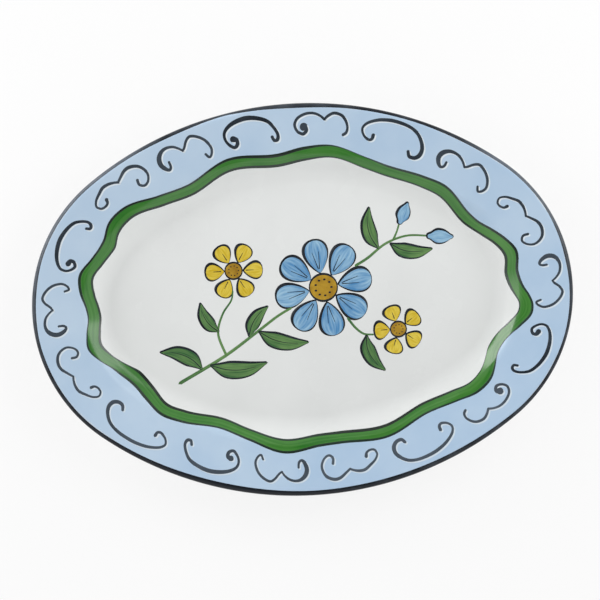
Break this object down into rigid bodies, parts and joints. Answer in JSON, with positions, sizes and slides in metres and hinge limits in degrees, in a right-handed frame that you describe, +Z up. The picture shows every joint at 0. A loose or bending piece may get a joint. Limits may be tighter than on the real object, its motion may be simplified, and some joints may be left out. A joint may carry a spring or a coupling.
{
  "type": "oval serving platter",
  "caption": "Oval glazed earthenware platter with a flat well, coved wall, sloping painted rim with scrolls and a wavy band, on a foot ring, for serving food.",
  "frame": {"origin": "middle of the platter, on the surface that its foot ring stands on", "axes": "+X along the length, +Y along the width, +Z up out of the well"},
  "size_m": [0.4, 0.2898, 0.0279],
  "materials": {
    "clay": "bare fired clay, ground smooth on the foot",
    "white_glaze": "glossy white glaze",
    "rim_blue": "glossy pale blue underglaze colour",
    "band_green": "glossy leaf green, brushed",
    "ink_dark": "glossy charcoal line colour",
    "print_white": "glossy off-white print",
    "leaf_green": "glossy dark green, brushed",
    "petal_blue": "glossy mid blue, brushed",
    "petal_yellow": "glossy yellow, brushed",
    "eye_ochre": "glossy ochre, stippled"
  },
  "bodies": {
    "root": {"clay_body": "clay", "foot_ring": "clay", "face_glaze": "white_glaze", "back_glaze_skirt": "white_glaze", "back_glaze_centre": "white_glaze", "blue_rim_colour": "rim_blue", "green_wave_band": "band_green", "wave_outline_outer": "ink_dark", "wave_outline_inner": "ink_dark", "lip_line": "ink_dark", "double_scrolls": "ink_dark", "arch_scrolls": "ink_dark", "scroll_highlights": "print_white", "spray_stems": "leaf_green", "spray_leaves": "leaf_green", "blue_petals": "petal_blue", "yellow_petals": "petal_yellow", "flower_eyes": "eye_ochre", "spray_ink_lines": "ink_dark"}
  },
  "joints": []
}
